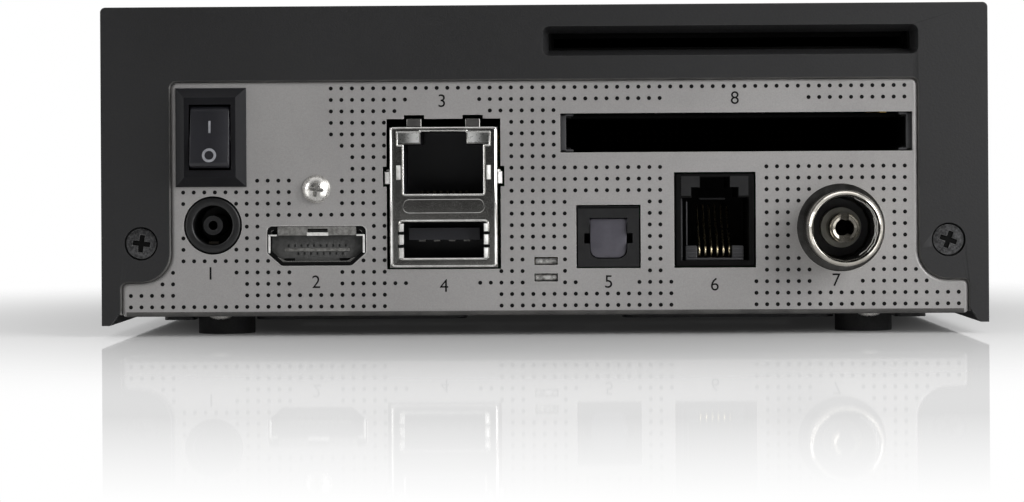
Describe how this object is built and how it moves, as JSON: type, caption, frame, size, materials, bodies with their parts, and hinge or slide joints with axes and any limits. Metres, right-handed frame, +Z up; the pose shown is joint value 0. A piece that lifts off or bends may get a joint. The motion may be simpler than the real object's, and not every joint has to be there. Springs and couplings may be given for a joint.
{
  "type": "satellite receiver",
  "caption": "Small box-shaped satellite receiver with a rear panel of sockets, a rocker switch, module and card slots and a plain front with a dark window and button.",
  "frame": {"origin": "middle of the bounding box, on the floor plane under the feet", "axes": "+Z up, +Y out of the rear panel with the sockets, -Y out of the front, +X on the switch side"},
  "size_m": [0.139, 0.1328, 0.0518],
  "materials": {
    "cover_plastic": "fine matt texture",
    "panel_paint": "satin metallic grey paint",
    "pan_paint": "matt black paint",
    "foot_rubber": "matt",
    "black_screw": "black oxide",
    "bright_screw": "nickel plated",
    "switch_plastic": "satin",
    "brass_contact": "plain",
    "header_plastic": "satin",
    "lead_jacket": "satin",
    "socket_plastic": "satin",
    "nickel": "nickel plated",
    "socket_steel": "tin plated",
    "gold_contact": "gold flash",
    "clear_pipe": "clear",
    "shutter_plastic": "satin",
    "tin_plate": "tin plated",
    "insulator_plastic": "satin",
    "cage_plastic": "satin",
    "circuit_board": "solder mask",
    "flat_cable": "satin",
    "chip_epoxy": "matt",
    "black_aluminium": "anodised",
    "can_aluminium": "satin",
    "smoked_acrylic": "gloss",
    "tact_body": "satin",
    "led_epoxy": "clear red"
  },
  "bodies": {
    "case": {"top_cover": "cover_plastic", "rear_panel": "panel_paint", "bottom_pan": "pan_paint", "foot_rear_left": "foot_rubber", "foot_rear_right": "foot_rubber", "foot_front_left": "foot_rubber", "foot_front_right": "foot_rubber", "cover_screws": "black_screw", "panel_screw": "bright_screw", "bottom_screws": "bright_screw", "board_screws": "bright_screw", "switch_housing": "switch_plastic", "switch_terminals": "brass_contact", "lead_header": "header_plastic", "switch_leads": "lead_jacket", "power_jack": "socket_plastic", "power_jack_pin": "nickel", "power_jack_spring": "brass_contact", "video_shell": "socket_steel", "video_insert": "socket_plastic", "video_contacts": "gold_contact", "stack_shield": "socket_steel", "stack_insert": "socket_plastic", "network_contacts": "gold_contact", "bus_contacts": "gold_contact", "light_pipes": "clear_pipe", "ground_clip": "socket_steel", "optical_body": "socket_plastic", "optical_emitter": "clear_pipe", "serial_jack": "socket_plastic", "serial_contacts": "gold_contact", "tuner_can": "tin_plate", "antenna_shell": "nickel", "antenna_insulator": "insulator_plastic", "antenna_contact": "nickel", "module_cage": "cage_plastic", "module_header": "socket_plastic", "module_pins": "gold_contact", "slot_board": "circuit_board", "card_board": "circuit_board", "card_reader": "socket_plastic", "card_contacts": "gold_contact", "board_pillars": "brass_contact", "card_cable": "flat_cable", "main_board": "circuit_board", "main_chip": "chip_epoxy", "heat_sink": "black_aluminium", "memory_chips": "chip_epoxy", "capacitors": "can_aluminium", "inductors": "chip_epoxy", "front_bezel": "cover_plastic", "front_window": "smoked_acrylic", "front_board": "circuit_board", "button_switch": "tact_body", "infrared_receiver": "chip_epoxy", "status_led": "led_epoxy", "front_connector": "header_plastic"},
    "rocker": {"rocker": "switch_plastic"},
    "shutter": {"optical_shutter": "shutter_plastic"},
    "button": {"standby_button": "switch_plastic"}
  },
  "joints": [
    {"name": "rocker_tilt", "type": "hinge", "parent": "case", "child": "rocker", "pos_m": [0.0522, 0.0596, 0.0313], "axis": [-1, 0, 0], "range_deg": [0, 18]},
    {"name": "shutter_swing", "type": "hinge", "parent": "case", "child": "shutter", "pos_m": [-0.0101, 0.05795, 0.01778], "axis": [-1, 0, 0], "range_deg": [0, 80], "stiffness_Nm_per_rad": 0.0002},
    {"name": "button_press", "type": "slide", "parent": "case", "child": "button", "axis": [0, 1, 0], "range_m": [0, 0.0007], "stiffness_N_per_m": 800}
  ]
}
